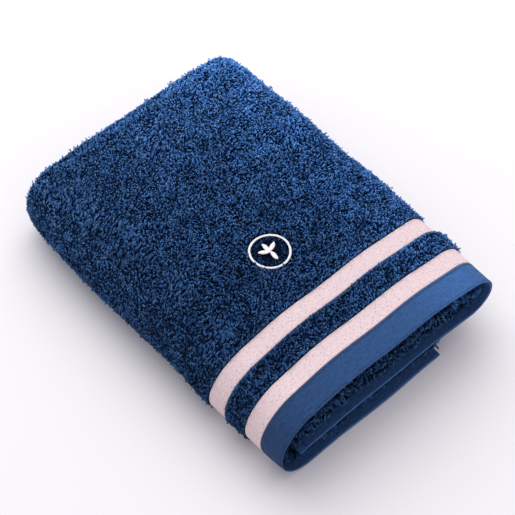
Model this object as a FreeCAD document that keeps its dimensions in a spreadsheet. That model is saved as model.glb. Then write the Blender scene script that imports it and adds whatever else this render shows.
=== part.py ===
import FreeCAD, Part
import math
import os

import Sketcher

# A terry bath towel, folded to a flat stack of twelve layers.
# The cloth is first folded to a quarter of its length, which gives four layers, and then in
# three across its width: the right third is tucked under the middle one, and the left third
# goes under both and lies on the floor.
# Frame: X across the stack, Y along it with the end hem at -Y, Z up, origin at the centre of
# the stack's underside.  The stack opens like a book about its left side.

SIZES = {
    "width": 240,             # across the folded stack
    "length": 332,            # along the folded stack
    "layer": 6.1,             # one layer of terry with the pile of both its faces
    "clearance": 0.3,         # between the part that lies still and the part that opens
    "squeeze": 3,             # how much thinner each layer is where the left fold turns
    "fold_run": 2,            # straight cloth beside the left fold
    "floor_third": 182,       # from the left side to the free edge of the third on the floor
    "tucked_edge": 23,        # from the left side to the free edge of the tucked third
    "side_hem": 8,            # narrow hem along both free edges
    "hem": 24,                # flat woven hem across the towel's end
    "stripe": 17.5,           # each flat woven stripe
    "band": 23,               # terry band between the two stripes
    "seam": 0.8,              # sewing thread along the hem
    "seam_inset": 2,          # from the seam to the hem's inner edge
    "second_recess": 22,      # the towel's other end, behind the end hem
    "inner_recess": 4,        # the inner fold, behind the end hem
    "badge_place": 110,       # from the left side to the badge's centre
    "badge_back": 132,        # from the end hem's edge to the badge's centre
    "badge_radius": 17.5,
    "badge_line": 1.8,        # width of the badge's ring
    "badge_height": 0.8,
    "leaf_length": 10,
    "leaf_bow": 7.5,          # radius of a leaf's curved sides
}
LAYERS_ACROSS_LEFT = 6        # half of the twelve layers are below the left fold's middle
LAYERS_ACROSS_RIGHT = 4       # the right fold turns round eight layers
LAYERS_IN_BACK_FOLD = 2       # each third's back fold turns round four layers
FLAT_WEAVE = (0.3, 0.7)       # the stripes' faces, as shares of one layer's depth
HEM_WEAVE = (0.2, 0.75)       # the doubled hem's faces
SEAM_WEAVE = (0.12, 0.2)      # the seam lies on the hem's outer face
BACK_ROUNDING = 4             # rounds the back end of a fold, in millimetres

doc = FreeCAD.newDocument("FoldedTowel")
sheet = doc.addObject("Spreadsheet::Sheet", "Sizes")
for row, (alias, value) in enumerate(SIZES.items(), start=1):
    sheet.set(f"A{row}", alias)
    sheet.set(f"B{row}", str(value))
    sheet.setAlias(f"B{row}", alias)
doc.recompute()

LEFT = "-Sizes.width / 2"
FLAT_LEFT = f"{LEFT} + {LAYERS_ACROSS_LEFT} * Sizes.layer + Sizes.fold_run"
FLAT_RIGHT = f"Sizes.width / 2 - {LAYERS_ACROSS_RIGHT} * Sizes.layer"
FRONT = "-Sizes.length / 2"
HEM_BACK = f"{FRONT} + Sizes.hem"
OUTER_STRIPE_BACK = f"{HEM_BACK} + Sizes.stripe"
BAND_BACK = f"{OUTER_STRIPE_BACK} + Sizes.band"
INNER_STRIPE_BACK = f"{BAND_BACK} + Sizes.stripe"
FLAT_BACK = f"Sizes.length / 2 - {LAYERS_IN_BACK_FOLD} * Sizes.layer"
BACK = "Sizes.length / 2"
SEAM_BACK = f"{HEM_BACK} - Sizes.seam_inset"

# Each zone of the stack: its front and back, and the outer and inner face of its layers,
# counted in layers from the outside.
ZONES = {
    "end_hem": (FRONT, HEM_BACK, *HEM_WEAVE),
    "hem_seam": (f"{SEAM_BACK} - Sizes.seam", SEAM_BACK, *SEAM_WEAVE),
    "outer_stripe": (HEM_BACK, OUTER_STRIPE_BACK, *FLAT_WEAVE),
    "terry_band": (OUTER_STRIPE_BACK, BAND_BACK, 0, 1),
    "inner_stripe": (BAND_BACK, INNER_STRIPE_BACK, *FLAT_WEAVE),
    "terry_face": (INNER_STRIPE_BACK, FLAT_BACK, 0, 1),
    "second_layer": (f"{FRONT} + Sizes.second_recess", FLAT_BACK, 1, 2),
    "inner_fold": (f"{FRONT} + Sizes.inner_recess", FLAT_BACK, 2, 4),
}
WHOLE_STACK = (0, 4)
OUTER_ZONES = ("end_hem", "outer_stripe", "terry_band", "inner_stripe", "terry_face")

# Each flat third: its left and right ends, the height of its outer face, and the way that
# its inner layers go from there.
THIRDS = {
    "bottom": (FLAT_LEFT, f"{LEFT} + Sizes.floor_third", "0", 1),
    "top": (FLAT_LEFT, FLAT_RIGHT, "12 * Sizes.layer + Sizes.clearance", -1),
    "under": (f"{LEFT} + Sizes.tucked_edge", FLAT_RIGHT, "4 * Sizes.layer + Sizes.clearance", 1),
}
FREE_EDGES = {"bottom": "right", "under": "left"}
made = []


def bind(item, **formulas):
    """Binds properties of item to formulas on the sheet's cells."""
    for name, formula in formulas.items():
        item.setExpression(name.replace("_", "."), formula)


def place(item, x, y, z):
    """Binds the position of item."""
    bind(item, Placement_Base_x=x, Placement_Base_y=y, Placement_Base_z=z)


def face_height(outer, way, layers):
    """The height of a face that lies the given number of layers in from the outer face."""
    return f"{outer} + {way * layers} * Sizes.layer"


def slab(label, x, y, z):
    """A flat piece of cloth between the low and high formulas for each axis."""
    piece = doc.addObject("Part::Box", label)
    bind(piece, Length=f"({x[1]}) - ({x[0]})", Width=f"({y[1]}) - ({y[0]})")
    bind(piece, Height=f"({z[1]}) - ({z[0]})")
    place(piece, x[0], y[0], z[0])
    made.append(piece)
    return piece


def new_profile(label, x, y, z):
    """A body at x, y, z and an empty sketch on its XZ plane."""
    body = doc.addObject("PartDesign::Body", label)
    plane = next(p for p in body.Origin.OriginFeatures if p.Role == "XZ_Plane")
    profile = body.newObject("Sketcher::SketchObject", f"{label}_profile")
    profile.AttachmentSupport = (plane, "")
    profile.MapMode = "FlatFace"
    place(body, x, y, z)
    made.append(body)
    return body, profile


def pad(body, profile, length):
    """Pads the profile towards the front."""
    feature = body.newObject("PartDesign::Pad", f"{body.Name}_pad")
    feature.Profile = profile
    bind(feature, Length=length)
    profile.Visibility = False
    return feature


def set_size(profile, name, constraint, formula):
    """Adds a named constraint whose value follows formula."""
    index = profile.addConstraint(constraint)
    profile.renameConstraint(index, name)
    profile.setExpression(f"Constraints.{name}", formula)


def left_quarter(label, zone, upper):
    """A quarter turn of the left fold, below or above the level where the stack opens."""
    front, back, outer, inner = zone
    middle = f"{LAYERS_ACROSS_LEFT} * Sizes.layer"
    if upper:
        middle += " + Sizes.clearance"
    body, profile = new_profile(label, LEFT, back, middle)
    way = 1 if upper else -1
    turn = (math.pi / 2, math.pi) if upper else (math.pi, 3 * math.pi / 2)
    side_end, flat_end = (2, 1) if upper else (1, 2)
    flat = LAYERS_ACROSS_LEFT * SIZES["layer"] + SIZES["fold_run"]
    radii = [(LAYERS_ACROSS_LEFT - depth) * SIZES["layer"] for depth in (outer, inner)]
    sides = [depth * SIZES["squeeze"] for depth in (outer, inner)]
    arcs = []
    for radius, side in zip(radii, sides):
        centre = FreeCAD.Vector(side + radius, 0, 0)
        circle = Part.Circle(centre, FreeCAD.Vector(0, 0, 1), radius)
        arcs.append(profile.addGeometry(Part.ArcOfCircle(circle, *turn)))
    corners = [
        ((flat, way * radii[0]), (sides[0] + radii[0], way * radii[0])),
        ((sides[0], 0), (sides[1], 0)),
        ((sides[1] + radii[1], way * radii[1]), (flat, way * radii[1])),
        ((flat, way * radii[1]), (flat, way * radii[0])),
    ]
    outer_run, seam_line, inner_run, end_line = [
        profile.addGeometry(Part.LineSegment(FreeCAD.Vector(*a, 0), FreeCAD.Vector(*b, 0)))
        for a, b in corners
    ]
    profile.addConstraint([
        Sketcher.Constraint("Tangent", outer_run, 2, arcs[0], flat_end),
        Sketcher.Constraint("Tangent", inner_run, 1, arcs[1], flat_end),
        Sketcher.Constraint("Coincident", seam_line, 1, arcs[0], side_end),
        Sketcher.Constraint("Coincident", seam_line, 2, arcs[1], side_end),
        Sketcher.Constraint("Coincident", inner_run, 2, end_line, 1),
        Sketcher.Constraint("Coincident", end_line, 2, outer_run, 1),
        Sketcher.Constraint("Horizontal", outer_run),
        Sketcher.Constraint("Horizontal", inner_run),
        Sketcher.Constraint("Vertical", end_line),
        Sketcher.Constraint("PointOnObject", arcs[0], side_end, -1),
        Sketcher.Constraint("PointOnObject", arcs[1], side_end, -1),
        Sketcher.Constraint("PointOnObject", arcs[0], 3, -1),
        Sketcher.Constraint("PointOnObject", arcs[1], 3, -1),
    ])
    for arc, depth, radius, side, name in zip(arcs, (outer, inner), radii, sides, ("outer", "inner")):
        radius_formula = f"{LAYERS_ACROSS_LEFT - depth} * Sizes.layer"
        set_size(profile, f"{name}_radius", Sketcher.Constraint("Radius", arc, radius), radius_formula)
        set_size(
            profile,
            f"{name}_centre",
            Sketcher.Constraint("DistanceX", -1, 1, arc, 3, side + radius),
            f"{depth} * Sizes.squeeze + {radius_formula}",
        )
    set_size(
        profile,
        "flat_start",
        Sketcher.Constraint("DistanceX", -1, 1, end_line, 1, flat),
        f"{LAYERS_ACROSS_LEFT} * Sizes.layer + Sizes.fold_run",
    )
    return body, pad(body, profile, f"({back}) - ({front})")


def right_half(label, zone):
    """The half turn of the right fold, round the eight layers of the upper part."""
    front, back, outer, inner = zone
    middle = "8 * Sizes.layer + Sizes.clearance"
    body, profile = new_profile(label, FLAT_RIGHT, back, middle)
    depths = [depth for depth in (outer, inner) if depth < LAYERS_ACROSS_RIGHT]
    arcs = []
    for number, depth in enumerate(depths):
        radius = (LAYERS_ACROSS_RIGHT - depth) * SIZES["layer"]
        circle = Part.Circle(FreeCAD.Vector(0, 0, 0), FreeCAD.Vector(0, 0, 1), radius)
        arc = profile.addGeometry(Part.ArcOfCircle(circle, -math.pi / 2, math.pi / 2))
        arcs.append((arc, radius))
        profile.addConstraint([
            Sketcher.Constraint("Coincident", arc, 3, -1, 1),
            Sketcher.Constraint("PointOnObject", arc, 1, -2),
            Sketcher.Constraint("PointOnObject", arc, 2, -2),
        ])
        set_size(
            profile,
            f"radius_{number}",
            Sketcher.Constraint("Radius", arc, radius),
            f"{LAYERS_ACROSS_RIGHT - depth} * Sizes.layer",
        )
    for end, way in ((1, -1), (2, 1)) if len(arcs) == 2 else ((1, -1),):
        start = FreeCAD.Vector(0, way * arcs[0][1], 0)
        stop = FreeCAD.Vector(0, way * arcs[1][1] if len(arcs) == 2 else arcs[0][1], 0)
        line = profile.addGeometry(Part.LineSegment(start, stop))
        far_arc, far_end = (arcs[1][0], end) if len(arcs) == 2 else (arcs[0][0], 2)
        profile.addConstraint([
            Sketcher.Constraint("Coincident", line, 1, arcs[0][0], end),
            Sketcher.Constraint("Coincident", line, 2, far_arc, far_end),
        ])
    return body, pad(body, profile, f"({back}) - ({front})")


def round_back(body, feature):
    """Rounds the outer back edge of a fold, which is the longest curved edge at its back."""
    doc.recompute()
    back = max(v.Point.y for v in feature.Shape.Vertexes)
    at_back = [
        (edge.Length, f"Edge{number}")
        for number, edge in enumerate(feature.Shape.Edges, start=1)
        if isinstance(edge.Curve, Part.Circle) and all(abs(v.Point.y - back) < 1e-6 for v in edge.Vertexes)
    ]
    rounding = body.newObject("PartDesign::Fillet", f"{body.Name}_rounding")
    rounding.Base = (feature, [max(at_back)[1]])
    rounding.Radius = BACK_ROUNDING


def flat_third(name):
    """All the zones of one flat third, and its side hem and back fold."""
    left, right, outer_face, way = THIRDS[name]
    edge = FREE_EDGES.get(name)
    hem_right = f"{right} - Sizes.side_hem" if edge == "right" else right
    hem_left = f"{left} + Sizes.side_hem" if edge == "left" else left
    for zone, (front, back, outer, inner) in ZONES.items():
        x = (hem_left, hem_right) if zone in OUTER_ZONES + ("hem_seam",) else (left, right)
        faces = [face_height(outer_face, way, depth) for depth in (outer, inner)]
        slab(f"{name}_{zone}", x, (front, back), faces[::way])
    if edge:
        x = (hem_right, right) if edge == "right" else (left, hem_left)
        faces = [face_height(outer_face, way, depth) for depth in HEM_WEAVE]
        slab(f"{name}_side_hem", x, (FRONT, FLAT_BACK), faces[::way])
    fold = doc.addObject("Part::Cylinder", f"{name}_back_fold")
    fold.Angle = 180
    bind(fold, Radius=f"{LAYERS_IN_BACK_FOLD} * Sizes.layer", Height=f"({right}) - ({left})")
    half_turn = FreeCAD.Rotation(FreeCAD.Vector(0, 1, 0), 90)
    fold.Placement = FreeCAD.Placement(FreeCAD.Vector(), half_turn)
    place(fold, left, FLAT_BACK, face_height(outer_face, way, LAYERS_IN_BACK_FOLD))
    made.append(fold)


def left_fold(name, upper):
    """All the zones of one half of the left fold."""
    for zone, spans in ZONES.items():
        left_quarter(f"{name}_{zone}", spans, upper)
    round_back(*left_quarter(f"{name}_back_fold", (FLAT_BACK, BACK, *WHOLE_STACK), upper))


def right_fold():
    """All the zones of the right fold."""
    for zone, spans in ZONES.items():
        right_half(f"right_fold_{zone}", spans)
    round_back(*right_half("right_fold_back_fold", (FLAT_BACK, BACK, *WHOLE_STACK)))


def disc(label, radius, x, y):
    """An upright cylinder on the top face, as thick as the embroidery."""
    piece = doc.addObject("Part::Cylinder", label)
    bind(piece, Radius=radius, Height="Sizes.badge_height")
    place(piece, x, y, THIRDS["top"][2])
    return piece


def badge():
    """The embroidered ring and the sprig of leaves in it."""
    x = f"{LEFT} + Sizes.badge_place"
    y = f"{FRONT} + Sizes.badge_back"
    ring = doc.addObject("Part::Cut", "badge_ring")
    ring.Base = disc("ring_outside", "Sizes.badge_radius", x, y)
    ring.Tool = disc("ring_inside", "Sizes.badge_radius - Sizes.badge_line", x, y)
    made.append(ring)
    leaves = []
    for number, angle in enumerate((90, 30, 150, 270), start=1):
        bow = FreeCAD.Vector(math.cos(math.radians(angle)), math.sin(math.radians(angle)), 0)
        centre_x = f"{x} + {bow.x:.6f} * Sizes.leaf_length / 2"
        centre_y = f"{y} + {bow.y:.6f} * Sizes.leaf_length / 2"
        reach = "sqrt(Sizes.leaf_bow ^ 2 - Sizes.leaf_length ^ 2 / 4)"
        halves = [
            disc(
                f"leaf_{number}_{side}",
                "Sizes.leaf_bow",
                f"{centre_x} + {-way * bow.y:.6f} * {reach}",
                f"{centre_y} + {way * bow.x:.6f} * {reach}",
            )
            for side, way in (("left", 1), ("right", -1))
        ]
        leaf = doc.addObject("Part::Common", f"leaf_{number}")
        leaf.Base, leaf.Tool = halves
        leaves.append(leaf)
    sprig = doc.addObject("Part::Compound", "badge_sprig")
    sprig.Links = leaves
    made.append(sprig)


for third in THIRDS:
    flat_third(third)
left_fold("left_fold_lower", upper=False)
left_fold("left_fold_upper", upper=True)
right_fold()
badge()
doc.recompute()

for item in doc.Objects:
    if "Invalid" in item.State or "Error" in item.State:
        raise RuntimeError(f"{item.Label} did not build: {item.State}")
os.makedirs("parts", exist_ok=True)
for piece in made:
    if piece.Shape.isNull() or not piece.Shape.isValid():
        raise RuntimeError(f"{piece.Label} has no valid shape")
    piece.Shape.exportStep(os.path.join("parts", f"{piece.Label}.step"))
print(len(made), "pieces written")
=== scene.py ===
"""A folded terry bath towel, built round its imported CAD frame.

Every visible surface is placed in cloth coordinates: s runs across the folded stack, from the
free edge on the floor, round the left fold, over the top, round the right fold and back under
it; l runs along the cloth from its hem, over the back fold and through the inner folds; and h
is the height over the cloth's middle, towards its outer face.
"""

import math

import bpy
import numpy as np
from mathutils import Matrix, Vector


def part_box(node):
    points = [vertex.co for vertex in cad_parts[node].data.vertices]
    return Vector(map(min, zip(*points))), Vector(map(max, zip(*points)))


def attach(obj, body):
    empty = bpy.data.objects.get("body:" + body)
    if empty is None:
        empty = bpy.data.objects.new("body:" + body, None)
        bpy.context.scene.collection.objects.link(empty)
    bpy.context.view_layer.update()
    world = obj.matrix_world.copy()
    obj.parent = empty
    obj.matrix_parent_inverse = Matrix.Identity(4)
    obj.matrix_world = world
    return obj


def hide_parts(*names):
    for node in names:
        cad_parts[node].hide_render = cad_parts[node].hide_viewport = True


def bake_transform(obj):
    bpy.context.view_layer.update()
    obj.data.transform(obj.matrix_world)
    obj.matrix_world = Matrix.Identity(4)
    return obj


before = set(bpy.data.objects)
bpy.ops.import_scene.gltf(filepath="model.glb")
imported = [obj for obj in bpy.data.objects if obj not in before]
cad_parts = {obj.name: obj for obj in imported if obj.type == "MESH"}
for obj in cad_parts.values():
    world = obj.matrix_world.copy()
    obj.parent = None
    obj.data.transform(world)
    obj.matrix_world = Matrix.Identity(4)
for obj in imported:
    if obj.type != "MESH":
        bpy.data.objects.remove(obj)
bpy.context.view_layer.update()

X, Y, Z = 0, 1, 2
MM = 0.001
PER_METRE = 1000.0           # millimetres, the materials' own unit
FLOOR_BODY, UPPER_BODY = "floor_third", "upper_thirds"


# ---------------------------------------------------------------- sizes from the frame
def span(node, axis):
    """The low and high coordinate of a CAD node along one axis."""
    low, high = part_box(node)
    return low[axis], high[axis]


LEFT = span("left_fold_lower_terry_face", X)[0]
FLAT_LEFT, FLAT_RIGHT = span("top_terry_face", X)
RIGHT = span("right_fold_terry_face", X)[1]
FLOOR_EDGE = span("bottom_side_hem", X)[1]
TUCKED_EDGE, TUCKED_HEM = span("under_side_hem", X)
SIDE_HEM = TUCKED_HEM - TUCKED_EDGE
FRONT, HEM_BACK = span("top_end_hem", Y)
OUTER_STRIPE_BACK = span("top_outer_stripe", Y)[1]
BAND_BACK = span("top_terry_band", Y)[1]
INNER_STRIPE_BACK, FLAT_BACK = span("top_terry_face", Y)
INNER_FRONT = span("top_inner_fold", Y)[0]
SECOND_FRONT = span("top_second_layer", Y)[0]
TOP = span("top_terry_face", Z)[1]
UNDER = span("under_terry_face", Z)[0]
LAYER = TOP - span("top_terry_face", Z)[0]
THIRD = 4                    # layers in each third of the stack
CLEARANCE = UNDER - THIRD * LAYER
SQUEEZE = span("left_fold_lower_second_layer", X)[0] - LEFT      # a layer's thickness at the left
WIDTH, LENGTH = RIGHT - LEFT, 2 * abs(FRONT)

# Along s: where each stretch of the cross-section ends, measured half a layer deep.
LEFT_DEPTH = 1.5 * THIRD     # layers from the left fold's outer face to its centre
RIGHT_DEPTH = THIRD          # and from the right fold's
LEFT_RADIUS = (LEFT_DEPTH - 0.5) * LAYER
RIGHT_RADIUS = (RIGHT_DEPTH - 0.5) * LAYER
LEFT_RUN = FLAT_LEFT - (LEFT + 0.5 * SQUEEZE + LEFT_RADIUS)
S_FLOOR = FLOOR_EDGE - FLAT_LEFT
S_LEFT = S_FLOOR + 2 * LEFT_RUN + math.pi * LEFT_RADIUS
S_TOP = S_LEFT + FLAT_RIGHT - FLAT_LEFT
S_RIGHT = S_TOP + math.pi * RIGHT_RADIUS
S_UNDER = S_RIGHT + FLAT_RIGHT - TUCKED_EDGE

# Along l: where each stretch of the folded length ends. The back fold goes round the two
# layers between its ends, and the two inner folds turn straight back on themselves.
BACK_RADIUS, INNER_RADIUS = 1.5 * LAYER, 0.5 * LAYER
FOLD_CENTRE = INNER_FRONT + LAYER
L_HEM = HEM_BACK - FRONT
L_OUTER_STRIPE = OUTER_STRIPE_BACK - FRONT
L_BAND = BAND_BACK - FRONT
L_INNER_STRIPE = INNER_STRIPE_BACK - FRONT
L_OUTER = FLAT_BACK - FRONT
L_BACK_FOLD = L_OUTER + math.pi * BACK_RADIUS
L_FOURTH = L_BACK_FOLD + FLAT_BACK - FOLD_CENTRE
L_FRONT_FOLD = L_FOURTH + math.pi * INNER_RADIUS
L_THIRD = L_FRONT_FOLD + FLAT_BACK - FOLD_CENTRE
L_SMALL_FOLD = L_THIRD + math.pi * INNER_RADIUS
L_SECOND = L_SMALL_FOLD + FLAT_BACK - SECOND_FRONT

# The cloth, in metres
GROUND = 1.0 * MM            # thickness of the woven ground between the loops
STRIPE_THICK = 1.7 * MM
STRIPE_LIFT = 1.0 * MM       # the stripes' middle over the ground's
HEM_THICK = 3.0 * MM
HEM_LIFT = 0.25 * MM         # the doubled hem's middle over the ground's
SIDE_THICK = 2.6 * MM
SEAM_LINE = L_HEM - 2.2 * MM
FLOOR_SKIN = 0.5 * MM        # what would lie lower is squeezed between this and the floor

# How far the soft cloth departs from the even stack. The crown is its rise at the front edge,
# just in front of the middle, well behind the middle, and at the back edge.
CROWN_PLACES = [FRONT, 0.2 * FRONT, 0.6 * FLAT_BACK, FLAT_BACK + 3 * LAYER]
CROWN_HEIGHTS = [8.5 * MM, 9.5 * MM, 7.5 * MM, 0.0]
EDGE_SETTLE = 3.6 * MM       # how far the pressed folds sink below the stack's even layers
RIGHT_DROOP = 1.6 * MM       # how far the right fold sinks, past the free edge on the floor
CORNER_SINK = 3.0 * MM       # how far the two back corners sink
LEFT_PRESS = 0.3 * MM        # how far the left fold is pressed in
RIGHT_PRESS = 0.8 * MM       # how far the right fold is pressed in
BACK_PRESS = 3.6 * MM        # how far the back fold is pressed forwards
FRONT_SPREAD = 0.8 * MM      # how far the lowest layers slide forwards, at the left
FRONT_DRAW = 2.6 * MM        # how far the top layers are drawn back from the front

# How far each rounded corner moves, to the right and forwards
BACK_LEFT_SHIFT = (7.5 * MM, -1.0 * MM)
BACK_RIGHT_SHIFT = (-3.0 * MM, 4.0 * MM)
FRONT_LEFT_SHIFT = (4.0 * MM, -3.0 * MM)


# ---------------------------------------------------------------- where the cloth lies
def across(s, depth):
    """x and z at s across the stack, depth layers in from its outer face."""
    s, depth = np.broadcast_arrays(np.asarray(s, float), np.asarray(depth, float))
    radius = (LEFT_DEPTH - depth) * LAYER
    centre = LEFT + depth * SQUEEZE + radius
    u = s - S_FLOOR
    turn = np.clip((u - LEFT_RUN) / LEFT_RADIUS, 0, math.pi)
    run_in = np.clip(u / LEFT_RUN, 0, 1)
    run_out = np.clip((s - S_LEFT) / LEFT_RUN + 1, 0, 1)
    fold_x = np.where(
        turn < math.pi,
        FLAT_LEFT + (centre - FLAT_LEFT) * run_in - radius * np.sin(turn),
        centre + (FLAT_LEFT - centre) * run_out,
    )
    fold_z = LEFT_DEPTH * LAYER + CLEARANCE * turn / math.pi - radius * np.cos(turn)
    right_radius = (RIGHT_DEPTH - depth) * LAYER
    right_turn = np.clip((s - S_TOP) / RIGHT_RADIUS, 0, math.pi)
    regions = [s < S_FLOOR, s < S_LEFT, s < S_TOP, s < S_RIGHT]
    x = np.select(
        regions,
        [
            FLOOR_EDGE - s,
            fold_x,
            FLAT_LEFT + s - S_LEFT,
            FLAT_RIGHT + right_radius * np.sin(right_turn),
        ],
        FLAT_RIGHT - (s - S_RIGHT),
    )
    z = np.select(
        regions,
        [
            depth * LAYER,
            fold_z,
            TOP - depth * LAYER,
            UNDER + RIGHT_DEPTH * LAYER + right_radius * np.cos(right_turn),
        ],
        UNDER + depth * LAYER,
    )
    return x, z


def lengthwise(l, h):
    """y and depth at l along the cloth, h over its middle on the outer face."""
    l, h = np.broadcast_arrays(np.asarray(l, float), np.asarray(h, float))
    back_turn = np.clip((l - L_OUTER) / BACK_RADIUS, 0, math.pi)
    back_radius = BACK_RADIUS + h
    front_turn = np.clip((l - L_FOURTH) / INNER_RADIUS, 0, math.pi)
    front_radius = INNER_RADIUS + h
    small_turn = np.clip((l - L_THIRD) / INNER_RADIUS, 0, math.pi)
    small_radius = np.maximum(INNER_RADIUS - h, 0.1 * LAYER)
    ends = [L_OUTER, L_BACK_FOLD, L_FOURTH, L_FRONT_FOLD, L_THIRD, L_SMALL_FOLD]
    regions = [l < end for end in ends]
    y = np.select(
        regions,
        [
            FRONT + l,
            FLAT_BACK + back_radius * np.sin(back_turn),
            FLAT_BACK - (l - L_BACK_FOLD),
            FOLD_CENTRE - front_radius * np.sin(front_turn),
            FOLD_CENTRE + (l - L_FRONT_FOLD),
            FLAT_BACK + small_radius * np.sin(small_turn),
        ],
        FLAT_BACK - (l - L_SMALL_FOLD),
    )
    # The cloth's middle lies 0.5 layers deep on the outside, then 3.5, 2.5 and 1.5 inside, and
    # each fold turns about the depth halfway between the two that it joins
    depth = np.select(
        regions,
        [
            0.5 - h / LAYER,
            2 - back_radius / LAYER * np.cos(back_turn),
            3.5 + h / LAYER,
            3 + front_radius / LAYER * np.cos(front_turn),
            2.5 - h / LAYER,
            2 + small_radius / LAYER * np.cos(small_turn),
        ],
        1.5 + h / LAYER,
    )
    return y, depth


def ripple(a, b, length, seed):
    """A smooth field over a and b, mostly from -1 to 1, with waves of about the given length."""
    rng = np.random.default_rng(seed)
    total = 0
    waves = 5
    spread = 3.2                # five waves seldom add up to more
    for _ in range(waves):
        angle = rng.uniform(0, math.pi)
        size = length * rng.uniform(0.7, 1.6)
        wave = (a * math.cos(angle) + b * math.sin(angle)) * 2 * math.pi / size
        total = total + np.sin(wave + rng.uniform(0, 2 * math.pi))
    return total / spread


def relax(x, y, z):
    """The small unevenness of soft cloth: a crowned top, rounded corners and slow ripples.
    The powers set how sharply a change gathers at an edge or a corner."""
    # How near a point is to each side of the stack: 0 at the middle or the floor, 1 at the side
    height = np.clip(z / TOP, 0, 1.1)
    side = np.clip(2 * np.abs(x) / WIDTH, 0, 1.1)
    left = np.clip(-2 * x / WIDTH, 0, 1)
    right = np.clip(2 * x / WIDTH, 0, 1.1)
    back = np.clip(2 * y / LENGTH, 0, 1.1)
    front = np.clip(-2 * y / LENGTH, 0, 1.1)
    past_floor_edge = np.clip((x - FLOOR_EDGE) / (RIGHT - FLOOR_EDGE), 0, 1)
    over_floor_layers = np.clip(1 - x / FLOOR_EDGE, 0, 1)
    back_corner = side**4 * back**6
    front_corner = left**12 * front**10

    crown = np.interp(y, CROWN_PLACES, CROWN_HEIGHTS) * (1 - side ** np.where(x < 0, 2.8, 3.5))
    sunk = RIGHT_DROOP * past_floor_edge**2 + EDGE_SETTLE + CORNER_SINK * back_corner
    z_new = z + height * (crown + 1.3 * MM * ripple(x, y, 0.10, 11) - sunk)

    x_new = x + 1.1 * MM * ripple(y, z, 0.10, 12) + LEFT_PRESS * left**4 - RIGHT_PRESS * right**4
    x_new = x_new + np.where(x < 0, BACK_LEFT_SHIFT[X], BACK_RIGHT_SHIFT[X]) * back_corner
    x_new = x_new + FRONT_LEFT_SHIFT[X] * front_corner

    forwards = BACK_PRESS * back**4 + FRONT_SPREAD * front**4 * (1 - height) * over_floor_layers**0.5
    forwards = forwards + np.where(x < 0, BACK_LEFT_SHIFT[Y], BACK_RIGHT_SHIFT[Y]) * back_corner
    forwards = forwards + FRONT_LEFT_SHIFT[Y] * front_corner * (1 - height)
    drawn_back = FRONT_DRAW * front * height * (1 - side**2)
    y_new = y + (0.5 + 0.8 * back) * MM * ripple(x, z, 0.09, 13) - forwards + drawn_back

    low = z_new < FLOOR_SKIN
    z_new = np.where(low, FLOOR_SKIN * np.exp(np.minimum(z_new / FLOOR_SKIN - 1, 0)), z_new)
    return x_new, y_new, z_new


def cloth(s, l, h):
    """Points of the folded cloth, as an array whose last axis is x, y, z."""
    y, depth = lengthwise(l, h)
    x, z = across(s, depth)
    return np.stack(relax(x, y, z), axis=-1)


# ---------------------------------------------------------------- meshes
def quad_object(name, points, quads, uv, material, flat_from=None, tips=None):
    """A mesh of quads, smooth up to flat_from. uv holds one pair for each point, in metres of
    cloth, and tips how near each point is to the top of the pile, from 0 to 1, which sets how much
    painted shade the loops get at their roots."""
    mesh = bpy.data.meshes.new(name)
    mesh.vertices.add(len(points))
    mesh.vertices.foreach_set("co", points.astype(np.float32).ravel())
    mesh.loops.add(quads.size)
    mesh.loops.foreach_set("vertex_index", quads.astype(np.int32).ravel())
    mesh.polygons.add(len(quads))
    mesh.polygons.foreach_set("loop_start", np.arange(0, quads.size, 4, dtype=np.int32))
    smooth = np.arange(len(quads)) < (len(quads) if flat_from is None else flat_from)
    mesh.polygons.foreach_set("use_smooth", smooth)
    layer = mesh.uv_layers.new(name="cloth")
    layer.data.foreach_set("uv", uv[quads.ravel()].astype(np.float32).ravel())
    if tips is not None:
        tip = mesh.attributes.new("tip", "FLOAT", "POINT")
        tip.data.foreach_set("value", tips.astype(np.float32).ravel())
    mesh.update(calc_edges=True)
    mesh.materials.append(material)
    piece = bpy.data.objects.new(name, mesh)
    bpy.context.scene.collection.objects.link(piece)
    return piece


def grid_quads(rows, columns, offset=0):
    """The quads of a grid whose points are numbered row by row."""
    i, j = np.meshgrid(np.arange(rows - 1), np.arange(columns - 1), indexing="ij")
    a = (i * columns + j + offset).ravel()
    return np.stack([a, a + columns, a + columns + 1, a + 1], axis=1)


def sheet_mesh(name, s, l, upper, lower, material):
    """A closed sheet between the heights upper and lower, which may vary over its grid."""
    grid_s, grid_l = np.meshgrid(s, l, indexing="ij")
    rows, columns = grid_s.shape
    upper = np.broadcast_to(upper, grid_s.shape)
    lower = np.broadcast_to(lower, grid_s.shape)
    points = np.concatenate([
        cloth(grid_s, grid_l, upper).reshape(-1, 3),
        cloth(grid_s, grid_l, lower).reshape(-1, 3),
    ])
    uv = np.stack([grid_s.ravel(), grid_l.ravel()], axis=1)
    count = rows * columns
    index = np.arange(count).reshape(rows, columns)
    rim = np.concatenate([index[:, 0], index[-1, 1:], index[-2::-1, -1], index[0, -2:0:-1]])
    after = np.roll(rim, -1)
    walls = np.stack([rim, rim + count, after + count, after], axis=1)
    top, bottom = grid_quads(rows, columns), grid_quads(rows, columns, count)[:, ::-1]
    quads = np.concatenate([top, bottom, walls])
    flat_from = len(top) + len(bottom)
    return quad_object(name, points, quads, np.concatenate([uv, uv]), material, flat_from)


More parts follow.
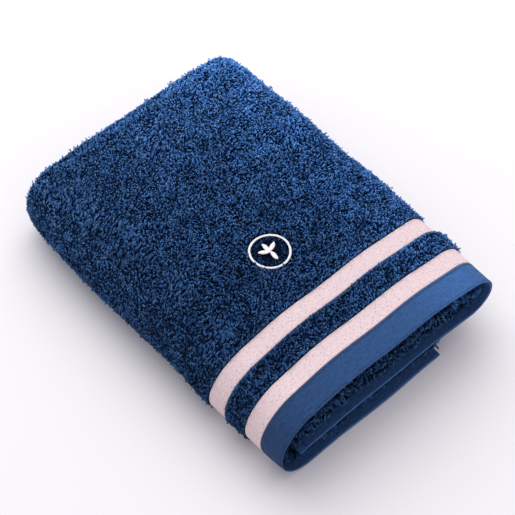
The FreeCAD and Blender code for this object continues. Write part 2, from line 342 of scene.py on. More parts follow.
def tubes(name, paths, radius, side_way, material, uv, place, tips=None):
    """Threads along paths, an array of thread, point and three coordinates. side_way is a
    direction across each thread, radius one number or one for each thread and point, and
    place turns the finished points into the object's frame."""
    sides = 4
    never_zero = 1e-12
    count, steps, _ = paths.shape
    tangent = np.gradient(paths, axis=1)
    tangent /= np.linalg.norm(tangent, axis=2, keepdims=True) + never_zero
    across_way = np.cross(tangent, side_way[:, None, :])
    across_way /= np.linalg.norm(across_way, axis=2, keepdims=True) + never_zero
    other_way = np.cross(across_way, tangent)
    angles = np.arange(sides) * 2 * math.pi / sides + math.pi / sides
    ring = (
        across_way[:, :, None, :] * np.cos(angles)[None, None, :, None]
        + other_way[:, :, None, :] * np.sin(angles)[None, None, :, None]
    )
    radius = np.broadcast_to(radius, (count, steps))[:, :, None, None]
    points = place(paths[:, :, None, :] + ring * radius)
    i, j = np.meshgrid(np.arange(steps - 1), np.arange(sides), indexing="ij")
    k = (j + 1) % sides
    here, beyond = i * sides, (i + 1) * sides
    quad = np.stack([here + j, here + k, beyond + k, beyond + j], axis=-1)
    ends = np.array([[3, 2, 1, 0], [0, 1, 2, 3]]) + np.array([[0], [(steps - 1) * sides]])
    one = np.concatenate([quad.reshape(-1, 4), ends])
    quads = (one[None] + (np.arange(count) * steps * sides)[:, None, None]).reshape(-1, 4)
    uv = np.repeat(uv, steps * sides, axis=0)
    if tips is not None:
        tips = np.repeat(tips.ravel(), sides)
    return quad_object(name, points.reshape(-1, 3), quads, uv, material, tips=tips)


# ---------------------------------------------------------------- materials
def new_material(name, base, roughness, sheen):
    """A material with constant finish, and its nodes, links and shader."""
    material = bpy.data.materials.new(name)
    material.use_nodes = True
    nodes, links = material.node_tree.nodes, material.node_tree.links
    shader = nodes["Principled BSDF"]
    shader.inputs["Base Color"].default_value = (*base, 1)
    shader.inputs["Roughness"].default_value = roughness
    shader.inputs["Sheen Weight"].default_value = sheen
    shader.inputs["Sheen Roughness"].default_value = 0.5
    shader.inputs["Specular IOR Level"].default_value = 0.1
    return material, nodes, links, shader


def cloth_position(nodes, links):
    """The cloth coordinates s and l, in millimetres."""
    uv = nodes.new("ShaderNodeUVMap")
    uv.uv_map = "cloth"
    mapping = nodes.new("ShaderNodeMapping")
    mapping.inputs["Scale"].default_value = (PER_METRE,) * 3
    links.new(uv.outputs["UV"], mapping.inputs["Vector"])
    return mapping.outputs["Vector"]


def ribs(nodes, links, position, period, direction, wobble=0.4):
    """Fine woven ribs, period millimetres apart, as a value from 0 to 1. At scale 1 the wave
    texture repeats 20 / (2 pi) times in each unit."""
    wave = nodes.new("ShaderNodeTexWave")
    wave.wave_type = "BANDS"
    wave.bands_direction = direction
    wave.inputs["Scale"].default_value = 2 * math.pi / (20 * period)
    wave.inputs["Distortion"].default_value = wobble
    wave.inputs["Detail"].default_value = 1
    links.new(position, wave.inputs["Vector"])
    return wave.outputs["Fac"]


def noise(nodes, links, position, scale, detail=2.0):
    """Noise with features about 1 / scale of the position's unit."""
    texture = nodes.new("ShaderNodeTexNoise")
    texture.inputs["Scale"].default_value = scale
    texture.inputs["Detail"].default_value = detail
    links.new(position, texture.inputs["Vector"])
    return texture.outputs["Fac"]


def streaks(nodes, links, position, along_s, along_l, detail):
    """Noise drawn out along one yarn, with about the given numbers of features in a
    millimetre of s and of l."""
    mapping = nodes.new("ShaderNodeMapping")
    mapping.inputs["Scale"].default_value = (along_s, along_l, 1.0)
    links.new(position, mapping.inputs["Vector"])
    return noise(nodes, links, mapping.outputs["Vector"], 1.0, detail)


def portion(nodes, links, position, axis, low, high):
    """How far the position has come from low to high along s (X) or l (Y), from 0 to 1."""
    apart = nodes.new("ShaderNodeSeparateXYZ")
    links.new(position, apart.inputs["Vector"])
    reach = nodes.new("ShaderNodeMapRange")
    reach.inputs["From Min"].default_value = low
    reach.inputs["From Max"].default_value = high
    links.new(apart.outputs[axis], reach.inputs["Value"])
    return reach.outputs["Result"]


def ramp(nodes, links, value, stops):
    """Colours or greys at the given places of value."""
    node = nodes.new("ShaderNodeValToRGB")
    elements = node.color_ramp.elements
    while len(elements) < len(stops):
        elements.new(0.5)
    for element, (place, colour) in zip(elements, stops):
        element.position = place
        element.color = (*colour, 1)
    links.new(value, node.inputs["Fac"])
    return node.outputs["Color"]


def mix(nodes, links, kind, factor, a, b):
    """Mixes two colours, each a socket or three numbers."""
    node = nodes.new("ShaderNodeMix")
    node.data_type = "RGBA"
    node.blend_type = kind
    for socket, value in ((node.inputs["Factor"], factor), (node.inputs["A"], a), (node.inputs["B"], b)):
        if isinstance(value, bpy.types.NodeSocket):
            links.new(value, socket)
        elif isinstance(value, tuple):
            socket.default_value = (*value, 1)
        else:
            socket.default_value = value
    return node.outputs["Result"]


def add_bump(nodes, links, shader, height, distance):
    """Relief of the given depth in metres."""
    bump = nodes.new("ShaderNodeBump")
    bump.inputs["Strength"].default_value = 1.0
    bump.inputs["Distance"].default_value = distance
    links.new(height, bump.inputs["Height"])
    links.new(bump.outputs["Normal"], shader.inputs["Normal"])


NAVY = (0.046, 0.118, 0.290)


def shade(colour, factor):
    """A colour made lighter or darker."""
    return tuple(min(1.0, c * factor) for c in colour)


def grey(level):
    """A grey as three equal numbers."""
    return (level,) * 3


# Painted light and shade on the pile, as greys that multiply its colour: darkest at its front edge, a
# little lighter behind it, and lightest at the back fold, which faces the light
PAINTED_SHADE_FRONT = (0.46, 0.555, 0.60)
PAINTED_SHADE_MIDDLE = (0.52, 0.61, 0.655)
PAINTED_LIGHT_BACK = (0.87, 0.955, 0.97)
HEM_TINT = (1.36, 1.44, 1.46)        # makes up for what the hem's streaks and lines darken


def painted_light_across(nodes, links, position):
    """Painted shade and light on the navy yarn, as greys: darker round the left fold, which faces away
    from the light, and lighter towards the right one, which faces it.
    """
    width = S_TOP - S_LEFT
    stops = [
        (0.0, 0.90),
        (S_FLOOR, 0.85),
        (S_LEFT - 70 * MM, 0.58),
        (S_LEFT, 0.70),
        (S_LEFT + 0.23 * width, 0.85),
        (S_LEFT + 0.46 * width, 0.93),
        (S_LEFT + 0.69 * width, 1.08),
        (S_LEFT + 0.91 * width, 1.42),
        (S_TOP, 1.50),
        (S_TOP + 25 * MM, 1.15),
        (S_RIGHT, 0.95),
        (S_UNDER, 0.90),
    ]
    reach = portion(nodes, links, position, "X", 0.0, PER_METRE * S_UNDER)
    return ramp(nodes, links, reach, [(s / S_UNDER, grey(tone)) for s, tone in stops])


def pile_material():
    """Looped cotton yarn, with a tone for each loop over slow random changes of tone. Painted shade
    darkens the loops' roots, the left fold, the front and the opening inside the front fold; painted
    light brightens the back fold and the right side."""
    material, nodes, links, shader = new_material("terry_loops", NAVY, 0.9, 0.0)
    position = cloth_position(nodes, links)
    each = nodes.new("ShaderNodeTexWhiteNoise")
    each.noise_dimensions = "2D"
    links.new(position, each.inputs["Vector"])
    tone = ramp(
        nodes, links, each.outputs["Value"],
        [
            (0.0, (0.05, 0.165, 0.45)), (0.5, (0.115, 0.32, 0.77)),
            (0.85, (0.20, 0.47, 0.97)), (1.0, (0.30, 0.60, 1.0)),
        ],
    )
    # Painted shade between the loops: near black at their roots, full colour at their tips
    height = nodes.new("ShaderNodeAttribute")
    height.attribute_name = "tip"
    depth = ramp(
        nodes, links, height.outputs["Fac"],
        [(0.35, (0.012, 0.025, 0.06)), (0.66, (0.22, 0.28, 0.36)), (0.95, grey(1.0))],
    )
    patches = ramp(
        nodes, links, noise(nodes, links, position, 0.035, 3.0), [(0.32, grey(0.7)), (0.68, grey(1.0))],
    )
    # Painted light and shade along the cloth: lighter towards the back fold, which faces the light,
    # darker towards the front, darkest inside the front fold's opening
    painted_light_along = ramp(
        nodes, links,
        portion(nodes, links, position, "Y", PER_METRE * L_OUTER_STRIPE, PER_METRE * L_FOURTH),
        [
            (0.0, PAINTED_SHADE_FRONT), (0.15, PAINTED_SHADE_MIDDLE), (0.46, PAINTED_LIGHT_BACK),
            (0.54, PAINTED_LIGHT_BACK), (0.85, PAINTED_SHADE_MIDDLE), (1.0, shade(PAINTED_SHADE_FRONT, 0.6)),
        ],
    )
    colour = tone
    for layer in (depth, patches, painted_light_along, painted_light_across(nodes, links, position)):
        colour = mix(nodes, links, "MULTIPLY", 1.0, colour, layer)
    colour.node.clamp_result = True
    links.new(colour, shader.inputs["Base Color"])
    return material


def ground_material():
    """The woven ground between the loops, painted far darker than its yarn for the shade that the loops
    cast on it.
    """
    material, nodes, links, shader = new_material("terry_ground", shade(NAVY, 0.4), 0.9, 0.0)
    position = cloth_position(nodes, links)
    weave = mix(
        nodes, links, "MULTIPLY", 1.0,
        ribs(nodes, links, position, 1.1, "X"), ribs(nodes, links, position, 1.1, "Y"),
    )
    # Painted shade: the weave's tones are a quarter to three fifths of the yarn's navy
    colour = ramp(nodes, links, weave, [(0.0, shade(NAVY, 0.25)), (1.0, shade(NAVY, 0.6))])
    links.new(colour, shader.inputs["Base Color"])
    add_bump(nodes, links, shader, weave, 0.3 * MM)
    return material


def hem_material():
    """The hem's fine flat weave, with streaks along both yarns and light specks."""
    material, nodes, links, shader = new_material("hem_weave", NAVY, 0.8, 0.03)
    position = cloth_position(nodes, links)
    weft = ribs(nodes, links, position, 0.8, "Y", 0.8)
    warp = ribs(nodes, links, position, 0.9, "X", 0.8)
    weave = mix(nodes, links, "MULTIPLY", 0.7, weft, warp)
    tone = ramp(
        nodes, links, weave,
        [(0.0, (0.026, 0.078, 0.215)), (0.5, (0.045, 0.122, 0.31)), (1.0, (0.058, 0.15, 0.36))],
    )
    long_streaks = streaks(nodes, links, position, 0.12, 1.3, 3.0)
    cross_streaks = streaks(nodes, links, position, 1.2, 0.25, 2.0)
    colour = tone
    for texture, low in ((long_streaks, 0.68), (cross_streaks, 0.72)):
        uneven = ramp(nodes, links, texture, [(0.3, grey(low)), (0.7, grey(1.12))])
        colour = mix(nodes, links, "MULTIPLY", 1.0, colour, uneven)
    specks = ramp(
        nodes, links, noise(nodes, links, position, 1.5, 0.0), [(0.70, grey(0.0)), (0.80, grey(1.0))],
    )
    colour = mix(nodes, links, "MIX", specks, colour, (0.10, 0.21, 0.42))
    # Darker lines along the hem: two near its edge, and two near its seam
    end = L_HEM * PER_METRE
    for start, stop, stops in (
        (0.0, 3.0, [(0.0, 1.0), (0.2, 1.0), (0.32, 0.55), (0.45, 0.95), (0.6, 0.62), (0.8, 0.8)]),
        (end - 3.5, end, [(0.0, 0.85), (0.3, 0.6), (0.5, 0.85), (0.8, 0.85), (0.95, 0.6)]),
    ):
        lines = portion(nodes, links, position, "Y", start, stop)
        tones = ramp(nodes, links, lines, [(at, grey(level)) for at, level in stops])
        colour = mix(nodes, links, "MULTIPLY", 1.0, colour, tones)
    # Painted shade round the left fold and painted light towards the right one
    colour = mix(nodes, links, "MULTIPLY", 1.0, colour, painted_light_across(nodes, links, position))
    colour = mix(nodes, links, "MULTIPLY", 1.0, colour, HEM_TINT)
    links.new(colour, shader.inputs["Base Color"])
    add_bump(nodes, links, shader, weave, 0.25 * MM)
    return material


def stripe_material():
    """The stripe's flat weave: fine streaks along the stripe, with dark dashes and pale specks."""
    material, nodes, links, shader = new_material("pink_weave", (0.80, 0.64, 0.65), 0.85, 0.03)
    position = cloth_position(nodes, links)
    weft = ribs(nodes, links, position, 0.9, "Y", 1.0)
    warp = ribs(nodes, links, position, 0.7, "X", 0.8)
    weave = mix(nodes, links, "MULTIPLY", 0.5, weft, warp)
    tone = ramp(
        nodes, links, weave,
        [(0.0, (0.72, 0.56, 0.575)), (0.5, (0.89, 0.735, 0.74)), (1.0, (0.96, 0.83, 0.82))],
    )
    uneven = ramp(
        nodes, links, streaks(nodes, links, position, 0.22, 1.5, 3.0),
        [(0.3, (0.84, 0.81, 0.82)), (0.6, grey(1.0))],
    )
    colour = mix(nodes, links, "MULTIPLY", 1.0, tone, uneven)
    dashes = ramp(
        nodes, links, streaks(nodes, links, position, 0.45, 1.5, 0.0),
        [(0.25, grey(1.0)), (0.30, grey(0.0))],
    )
    colour = mix(nodes, links, "MIX", dashes, colour, (0.36, 0.29, 0.36))
    specks = ramp(
        nodes, links, noise(nodes, links, position, 1.4, 0.0), [(0.73, grey(0.0)), (0.80, grey(1.0))],
    )
    colour = mix(nodes, links, "MIX", specks, colour, (0.86, 0.86, 0.92))
    links.new(colour, shader.inputs["Base Color"])
    add_bump(nodes, links, shader, weave, 0.25 * MM)
    return material


def thread_material(name, base, variation):
    """Sewing or embroidery thread, with a slight change of tone from stitch to stitch."""
    material, nodes, links, shader = new_material(name, base, 0.6, 0.15)
    position = cloth_position(nodes, links)
    tone = ramp(
        nodes, links, noise(nodes, links, position, 1.3),
        [(0.3, shade(base, 1 - variation)), (0.7, shade(base, 1 + variation))],
    )
    links.new(tone, shader.inputs["Base Color"])
    return material


LOOPS = pile_material()
GROUND_WEAVE = ground_material()
HEM_WEAVE = hem_material()
PINK_WEAVE = stripe_material()
SEAM_THREAD = thread_material("seam_thread", shade(NAVY, 0.55), 0.2)
WHITE_THREAD = thread_material("embroidery_thread", (0.88, 0.87, 0.87), 0.06)


# ---------------------------------------------------------------- the towel's sections
# Each section: its range of s, and the CAD nodes that it stands for.
SECTIONS = {
    "floor": (0.0, S_FLOOR, ("bottom",)),
    "left_fold": (S_FLOOR, S_LEFT, ("left_fold_lower", "left_fold_upper")),
    "upper": (S_LEFT, S_UNDER, ("top", "right_fold", "under")),
}


def hold(piece, section, nodes=()):
    """Parents a piece to its section's body, or keeps a left fold piece where it lies, and hides the CAD
    nodes that it stands for.
    """
    if section == "floor":
        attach(piece, FLOOR_BODY)
    elif section == "upper":
        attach(piece, UPPER_BODY)
    else:
        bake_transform(piece)
    if nodes:
        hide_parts(*[f"{part}_{node}" for part in SECTIONS[section][2] for node in nodes])
    return piece


def stations(low, high, step=2.5 * MM):
    """Evenly spaced places from low to high."""
    return np.linspace(low, high, max(2, math.ceil((high - low) / step) + 1))


def crisp(places):
    """The same places, with one more close to each end to keep that edge's shading sharp."""
    near = 0.02 * MM
    first, last = places[0], places[-1]
    return np.concatenate([[first, first + near], places[1:-1], [last - near, last]])


def rounded(places, low, high, radius):
    """1 inside a strip and down almost to 0 at its two edges, along a quarter circle."""
    least = 0.02
    inset = np.minimum(places - low, high - places)
    return np.sqrt(np.clip(1 - (1 - np.clip(inset / radius, 0, 1)) ** 2, least, 1))


def bell(places, centre, width):
    """A smooth bump, 1 at its centre."""
    return np.exp(-(((places - centre) / width) ** 2))


def side_limits(section):
    """The section's range of s without its side hem."""
    low, high = SECTIONS[section][:2]
    if section == "floor":
        low += SIDE_HEM
    if section == "upper":
        high -= SIDE_HEM
    return low, high


def strip(section, name, low, high, thickness, lift, material, edge, nodes):
    """One woven zone of a section, a sheet from low to high along the cloth. Its edges are
    rounded where edge isn't 0, and the hem's outer face has its ridges and its seam's groove."""
    s = crisp(stations(*side_limits(section)))
    narrow = high - low < 100 * MM
    l = stations(low, high, 2.0 * MM if narrow else 4.0 * MM)
    if edge:
        fine = np.array([0.05, 0.15, 0.35, 0.65, 1.0]) * edge
        inside = l[(l > low + edge) & (l < high - edge)]
        l = np.concatenate([[low], low + fine, inside, high - fine, [high]])
    if name == "end_hem":
        near_edge = np.arange(0.2, 3.6, 0.2) * MM
        near_seam = SEAM_LINE + np.arange(-1.0, 1.01, 0.25) * MM
        l = np.concatenate([l, near_edge, near_seam])
    l = np.unique(l)
    half = thickness / 2 * (rounded(l, low, high, edge) if edge else 1)
    upper = lift + half
    if name == "end_hem":
        ridges = bell(l, 0.9 * MM, 0.3 * MM) + 0.7 * bell(l, 2.1 * MM, 0.35 * MM)
        upper = upper + 0.3 * MM * ridges - 0.35 * MM * bell(l, SEAM_LINE, 0.5 * MM)
    piece = sheet_mesh(f"{section}_{name}", s, l, upper, lift - half, material)
    hold(piece, section, nodes)
    return piece, (s[-1] - s[0], high - low)


def woven_zones(section):
    """The hem, the stripes and the terry ground of the outer quarter of the cloth."""
    made = {}
    made["end_hem"] = strip(
        section, "end_hem", 0.0, L_HEM, HEM_THICK, HEM_LIFT, HEM_WEAVE, 1.4 * MM,
        ["end_hem"],
    )
    for name, low, high in (
        ("outer_stripe", L_HEM, L_OUTER_STRIPE),
        ("inner_stripe", L_BAND, L_INNER_STRIPE),
    ):
        made[name] = strip(
            section, name, low, high, STRIPE_THICK, STRIPE_LIFT, PINK_WEAVE, 0.5 * MM,
            [name],
        )
    for name, low, high in (
        ("terry_band", L_OUTER_STRIPE, L_BAND),
        ("terry_face", L_INNER_STRIPE, L_OUTER),
    ):
        made[name] = strip(section, name, low, high, GROUND, 0.0, GROUND_WEAVE, 0, [name])
    return made


def inner_cloth(section):
    """The other three quarters of the cloth, from the back fold to its far end."""
    low, high = SECTIONS[section][:2]
    s = crisp(stations(low, high, 5.0 * MM))
    bends = [(L_OUTER, L_BACK_FOLD), (L_FOURTH, L_FRONT_FOLD), (L_THIRD, L_SMALL_FOLD)]
    l = np.unique(np.concatenate(
        [stations(*bend, 1.5 * MM) for bend in bends]
        + [stations(a[1], b[0], 12 * MM) for a, b in zip(bends, bends[1:])]
        + [stations(L_SMALL_FOLD, L_SECOND, 12 * MM)]
    ))
    piece = sheet_mesh(f"{section}_inner_cloth", s, l, GROUND / 2, -GROUND / 2, GROUND_WEAVE)
    hold(piece, section, ["second_layer", "inner_fold", "back_fold"])
    return piece, (high - low, L_SECOND - L_OUTER)


# ---------------------------------------------------------------- the pile
BADGE_LOW, BADGE_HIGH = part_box("badge_ring")
BADGE_S = S_LEFT + (BADGE_LOW[X] + BADGE_HIGH[X]) / 2 - FLAT_LEFT
BADGE_L = (BADGE_LOW[Y] + BADGE_HIGH[Y]) / 2 - FRONT
BADGE_RADIUS = (BADGE_HIGH[X] - BADGE_LOW[X]) / 2
BADGE_LINE = 1.8 * MM        # the ring's own line
LOOP_HEIGHT = 5.0 * MM
LOOP_STEPS = 6               # points along one loop
YARN = 0.34 * MM             # radius of the yarn
CLOSE = 1.45 * MM            # how far apart the loops stand where they are seen closed
SPARSE = 2.3 * MM            # and where they are seen only from below or opened
JITTER = 0.35                # how far a loop stands off its place, as a share of that distance
EDGE_ROW = 2.5 * MM          # loops this near either end of their zone lean less and get less painted shade at their roots
PATCH = 38 * MM              # the widest patch of loops in one piece
PILE_GAP = 0.3 * MM          # from a stripe to the first loops behind it
BAND_END_GAP = 1.2 * MM      # from the band's last loops to the inner stripe


def loop_share(s, l):
    """How tall the loops stand: flattened under the badge, and lower inside its ring."""
    off_centre = np.hypot(s - BADGE_S, l - BADGE_L)
    off_ring = np.abs(off_centre - BADGE_RADIUS + BADGE_LINE / 2)
    share = np.where(off_centre < BADGE_RADIUS, 0.75, 1.0)
    share = np.where(off_ring < BADGE_LINE, 0.35, share)
    return np.where(off_centre < 0.58 * BADGE_RADIUS, 0.4, share)


def fold_share(s, l):
    """0 on the top face, and up to 1 past its left, right and back edges, where loops spring up."""
    full_at = 25 * MM
    past_top = np.maximum(S_LEFT + 20 * MM - s, s - S_TOP)
    past_back = l - L_OUTER + 15 * MM
    return np.clip(np.maximum(past_top, past_back) / full_at, 0, 1)


def pile(section, name, s_range, l_range, seed, pitch=CLOSE):
    """Loops of yarn over a patch of the cloth's outer face. Each loop has its own place,
    height, plane, width, lean and thickness, and neighbours lean in much the same way."""
    rng = np.random.default_rng(seed)
    columns = round((s_range[1] - s_range[0]) / pitch)
    rows = round((l_range[1] - l_range[0]) / pitch)
    i, j = np.meshgrid(np.arange(columns), np.arange(rows), indexing="ij")
    s = s_range[0] + (i + 0.5 + 0.5 * (j % 2 - 0.5)) * (s_range[1] - s_range[0]) / columns
    l = l_range[0] + (j + 0.5) * (l_range[1] - l_range[0]) / rows
    s, l = s.ravel(), l.ravel()
    count = len(s)
    s = s + rng.uniform(-JITTER, JITTER, count) * pitch
    l = l + rng.uniform(-JITTER, JITTER, count) * pitch
    l = np.clip(l, l_range[0] + YARN, l_range[1] - YARN)
    fold = fold_share(s, l)
    # A few loops stand out taller, and more of them do on a fold
    stray = np.where(rng.uniform(size=count) < 0.05 + 0.06 * fold, 1.06 + 0.4 * fold, 1.0)
    tall = LOOP_HEIGHT * rng.uniform(0.64, 1.14, count) * loop_share(s, l) * stray
    plane = rng.uniform(0, math.pi, count)
    gap = rng.uniform(0.35, 0.7, count) * MM
    lean = tall * rng.uniform(0.15, 0.8, count)
    lean_way = math.pi * ripple(s, l, 0.03, 21) + rng.normal(0, 0.9, count)
    t = np.linspace(0, 1, LOOP_STEPS)
    arch = np.sin(math.pi * t)[None]
    up = tall[:, None] * arch**0.8 / (1 + 0.4 * (lean / tall)[:, None] ** 2)
    wide = gap[:, None] * (np.cos(math.pi * t) * (1 + 0.8 * np.sin(math.pi * t)))[None]
    shift = lean[:, None] * arch**1.6
    lean_l = shift * np.sin(lean_way)[:, None]
    edge = np.minimum(l - l_range[0], l_range[1] - l)[:, None]
    lean_l = np.where(edge < EDGE_ROW, 0.35 * lean_l, lean_l)
    paths = np.stack([
        wide * np.cos(plane)[:, None] + shift * np.cos(lean_way)[:, None],
        wide * np.sin(plane)[:, None] + lean_l,
        up,
    ], axis=-1)
    side_way = np.stack([-np.sin(plane), np.cos(plane), np.zeros(count)], axis=1)
    radius = YARN * rng.uniform(0.85, 1.15, count)[:, None] * (0.8 + 0.3 * arch)
    base = np.stack([s, l], axis=1)
    root = GROUND / 2 - 0.2 * MM

    def place(points):
        """The loops' points on the folded cloth, rooted just inside its ground."""
        across_s = points[..., 0] + base[:, 0, None, None]
        along_l = points[..., 1] + base[:, 1, None, None]
        return cloth(across_s, along_l, points[..., 2] + root)

    # Loops at a zone's ends, whose roots the light reaches, get less painted shade at their roots
    tips = up / LOOP_HEIGHT + 0.4 * np.clip(1 - edge / EDGE_ROW, 0, 1)
    piece = tubes(f"{section}_{name}", paths, radius, side_way, LOOPS, base, place, tips)
    return hold(piece, section)


def halves(start, stop):
    """The two halves of a stretch, each with its number."""
    middle = (start + stop) / 2
    return [(1, (start, middle)), (2, (middle, stop))]


def section_pile(section, seed):
    """All the loops of a section that ever show, by the sheet that they stand on. Every patch
    has a seed of its own, counted on from the section's."""
    low, high = side_limits(section)
    stretches = {
        "floor": [("", low, high, SPARSE)],
        "left_fold": [("", low, high, CLOSE)],
        "upper": [
            ("top_", low, S_TOP, CLOSE),
            ("right_", S_TOP, S_RIGHT, CLOSE),
            ("under_", S_RIGHT, high, SPARSE),
        ],
    }[section]
    made = {"terry_band": [], "terry_face": [], "inner_cloth": []}
    face = (L_INNER_STRIPE + PILE_GAP, L_OUTER)
    band = (L_OUTER_STRIPE + PILE_GAP, L_BAND - BAND_END_GAP)
    number = seed
    for part, start, stop, pitch in stretches:
        cuts = np.linspace(start, stop, math.ceil((stop - start) / PATCH) + 1)
        for patch, ends in enumerate(zip(cuts, cuts[1:]), start=1):
            number += 2
            name = f"{part}face_pile_{patch}"
            made["terry_face"].append(pile(section, name, ends, face, number, pitch))
        name = f"{part}band_pile"
        made["terry_band"].append(pile(section, name, (start, stop), band, number + 1, pitch))
    past_fold = 4 * MM
    start, stop = SECTIONS[section][:2]
    back = (L_OUTER, L_BACK_FOLD)
    front = (L_FOURTH - past_fold, L_FRONT_FOLD + past_fold)
    long_section = stop - start > 200 * MM
    for half, ends in halves(start, stop) if long_section else [(1, (start, stop))]:
        made["inner_cloth"].append(pile(section, f"back_pile_{half}", ends, back, number + 2 + half))
        made["inner_cloth"].append(pile(section, f"front_pile_{half}", ends, front, number + 4 + half))
    if section != "upper":
        inner = (L_BACK_FOLD, L_FOURTH - past_fold)
        for half, ends in halves(start, stop):
            name = f"inner_pile_{half}"
            made["inner_cloth"].append(pile(section, name, ends, inner, number + 6 + half, SPARSE))
    return made


# ---------------------------------------------------------------- hems, seams, embroidery
STITCH, STITCH_STEP = 2.5 * MM, 3.1 * MM      # the hem's stitches, and from one to the next


def on_cloth(points):
    """Points given as s, l and h, placed on the folded cloth."""
    return cloth(points[..., 0], points[..., 1], points[..., 2])


def side_hem(section, low, high, along, name):
    """A narrow hem along a free edge of the cloth, which follows its folds."""
    s = low + (high - low) * np.array([0, 0.04, 0.12, 0.25, 0.5, 0.75, 0.88, 0.96, 1.0])
    half = SIDE_THICK / 2 * rounded(s, low, high, 1.3 * MM)[:, None]
    piece = sheet_mesh(f"{section}_{name}", s, along, half, -half, HEM_WEAVE)
    return hold(piece, section)


def hem_seam(section):
    """The row of stitches that holds the end hem, near its inner edge."""
    low, high = SECTIONS[section][:2]
    starts = np.arange(low + 1.5 * MM, high - 3.0 * MM, STITCH_STEP)
    t = np.linspace(0, 1, 5)
    level = HEM_THICK / 2 + HEM_LIFT - 0.3 * MM + 0.25 * MM * np.sin(math.pi * t)
    paths = np.stack([
        starts[:, None] + STITCH * t[None],
        np.full((len(starts), len(t)), SEAM_LINE),
        np.tile(level, (len(starts), 1)),
    ], axis=-1)
    middle = len(t) // 2
    uv = paths[:, middle, :2]
    side_way = np.tile([0.0, 1.0, 0.0], (len(starts), 1))
    piece = tubes(f"{section}_hem_seam", paths, 0.3 * MM, side_way, SEAM_THREAD, uv, on_cloth)
    hold(piece, section)
    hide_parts(*[f"{part}_hem_seam" for part in SECTIONS[section][2]])
    return piece


def stitches(name, starts, ends, node):
    """Satin stitches on the top face, from starts to ends in cloth coordinates."""
    t = np.linspace(0, 1, 7)
    flat = starts[:, None, :] + (ends - starts)[:, None, :] * t[None, :, None]
    level = LAYER / 2 + 0.5 * MM
    high = level + 0.55 * MM * np.sin(math.pi * t)[None] ** 0.5 + np.zeros((len(starts), 1))
    paths = np.concatenate([flat, high[..., None]], axis=-1)
    way = ends - starts
    side_way = np.stack([-way[:, 1], way[:, 0], np.zeros(len(way))], axis=1)
    side_way /= np.linalg.norm(side_way, axis=1, keepdims=True)
    piece = tubes(name, paths, 0.26 * MM, side_way, WHITE_THREAD, starts, on_cloth)
    hold(piece, "upper")
    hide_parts(node)
    return piece


def badge():
    """A ring of short stitches across its line, and four leaves of stitches across theirs."""
    rng = np.random.default_rng(5)
    centre = np.array([BADGE_S, BADGE_L])
    ring_stitches, slope, unevenness = 300, 0.03, 0.08
    angle = np.linspace(0, 2 * math.pi, ring_stitches, endpoint=False)
    radial = np.stack([np.cos(angle), np.sin(angle)], axis=1)
    skew = np.stack([np.cos(angle + slope), np.sin(angle + slope)], axis=1)
    inner = BADGE_RADIUS - BADGE_LINE + rng.normal(0, unevenness, (ring_stitches, 1)) * MM
    outer = BADGE_RADIUS + rng.normal(0, unevenness, (ring_stitches, 1)) * MM
    ring = stitches("badge_ring_stitches", centre + radial * inner, centre + skew * outer, "badge_ring")
    leaf_length, leaf_bow = 10 * MM, 7.5 * MM       # a leaf's length, and its sides' radius
    leaf_stitches, leaf_share = 34, 0.94            # stitches in a leaf, and how much they cover
    reach = math.sqrt(leaf_bow**2 - leaf_length**2 / 4)
    starts, ends = [], []
    for degrees in (90, 30, 150, 270):
        way = np.array([math.cos(math.radians(degrees)), math.sin(math.radians(degrees))])
        normal = np.array([-way[1], way[0]])
        place = np.linspace(-leaf_share, leaf_share, leaf_stitches) * leaf_length / 2
        half = np.sqrt(leaf_bow**2 - place**2) - reach
        middle = centre + way * (place[:, None] + leaf_length / 2)
        slant = way * 0.5 * half[:, None]
        starts.append(middle + normal * half[:, None] - slant)
        ends.append(middle - normal * half[:, None] + slant)
    sprig = stitches("badge_sprig_stitches", np.concatenate(starts), np.concatenate(ends), "badge_sprig")
    return [ring, sprig]


# ---------------------------------------------------------------- make the towel
def make_towel():
    """Builds every section."""
    outer = stations(0.0, L_OUTER, 3 * MM)
    inner = stations(L_OUTER, L_SECOND, 3 * MM)
    side_hems = {
        "floor": (0.0, SIDE_HEM, "bottom_side_hem"),
        "upper": (S_UNDER - SIDE_HEM, S_UNDER, "under_side_hem"),
    }
    for number, section in enumerate(SECTIONS):
        zones = woven_zones(section)
        zones["inner_cloth"] = inner_cloth(section)
        extras = section_pile(section, 100 * (number + 1))
        extras["end_hem"] = [hem_seam(section)]
        if section == "upper":
            extras["terry_face"] += badge()
        if section in side_hems:
            low, high, node = side_hems[section]
            piece = side_hem(section, low, high, outer, "side_hem")
            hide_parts(node)
            extras["terry_face"].append(piece)
            extras["inner_cloth"].append(side_hem(section, low, high, inner, "inner_side_hem"))


make_towel()


# ---------------------------------------------------------------- floor, light and camera
def make_floor():
    """A plain pale floor, far wider than the view."""
    size = 6.0
    mesh = bpy.data.meshes.new("studio_floor")
    corners = [(-size, -size, 0), (size, -size, 0), (size, size, 0), (-size, size, 0)]
    mesh.from_pydata(corners, [], [(0, 1, 2, 3)])
    material, nodes, links, shader = new_material("floor_paper", (0.90, 0.89, 0.91), 0.9, 0.0)
    position = nodes.new("ShaderNodeTexCoord").outputs["Object"]
    tone = ramp(
        nodes, links, noise(nodes, links, position, 3.0),
        [(0.0, (0.80, 0.795, 0.805)), (1.0, (0.81, 0.805, 0.815))],
    )
    links.new(tone, shader.inputs["Base Color"])
    mesh.materials.append(material)
    floor = bpy.data.objects.new("studio_floor", mesh)
    bpy.context.scene.collection.objects.link(floor)


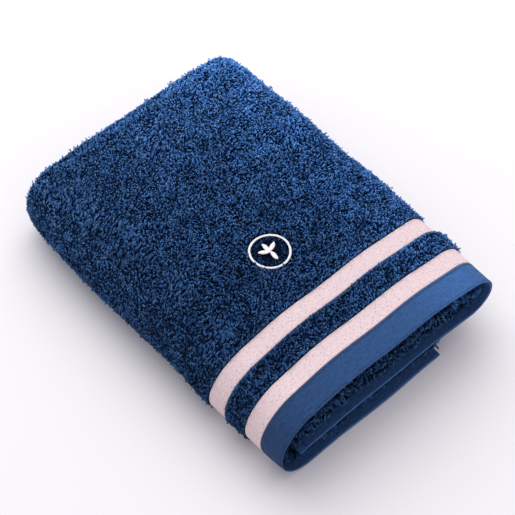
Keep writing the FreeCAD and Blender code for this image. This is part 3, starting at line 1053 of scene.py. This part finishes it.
def aim(thing, target):
    """Turns a light or camera towards target."""
    way = np.array(target) - np.array(thing.location)
    flat = math.hypot(way[0], way[1])
    thing.rotation_euler = (math.atan2(flat, -way[2]), 0, math.atan2(way[1], way[0]) - math.pi / 2)


CAMERA_AZIMUTH = math.radians(-42.05)       # from straight in front, round to the left
CAMERA_ELEVATION = math.radians(56.0)
CAMERA_DISTANCE = 1.6
CAMERA_LENS = 130.2
CAMERA_TARGET = (0.0152, 0.0087, 0.0)       # what lies at the middle of the view
LIGHT_PLACE = (0.5, 0.84, 1.68)
LIGHT_SIZE = 2.2
LIGHT_POWER = 35.0
LIGHT_COLOUR = (1.0, 1.0, 0.975)
ROOM_COLOUR = (0.965, 0.915, 1.0)
ROOM_STRENGTH = 0.735


def make_camera():
    """The view from above, across the stack's near corner."""
    data = bpy.data.cameras.new("view")
    data.lens = CAMERA_LENS
    camera = bpy.data.objects.new("view", data)
    bpy.context.scene.collection.objects.link(camera)
    back = np.array([
        math.sin(CAMERA_AZIMUTH) * math.cos(CAMERA_ELEVATION),
        -math.cos(CAMERA_AZIMUTH) * math.cos(CAMERA_ELEVATION),
        math.sin(CAMERA_ELEVATION),
    ])
    camera.location = np.array(CAMERA_TARGET) + back * CAMERA_DISTANCE
    aim(camera, CAMERA_TARGET)
    bpy.context.scene.camera = camera


def make_light():
    """A large soft light high behind the towel and to its right, in a pale room."""
    data = bpy.data.lights.new("key", "AREA")
    data.shape = "SQUARE"
    data.size = LIGHT_SIZE
    data.energy = LIGHT_POWER
    data.color = LIGHT_COLOUR
    light = bpy.data.objects.new("key", data)
    bpy.context.scene.collection.objects.link(light)
    light.location = LIGHT_PLACE
    aim(light, (0, 0, 0))
    world = bpy.data.worlds.new("room")
    world.use_nodes = True
    background = world.node_tree.nodes["Background"]
    background.inputs["Color"].default_value = (*ROOM_COLOUR, 1)
    background.inputs["Strength"].default_value = ROOM_STRENGTH
    bpy.context.scene.world = world
    bpy.context.scene.view_settings.view_transform = "Standard"


make_floor()
make_camera()
make_light()
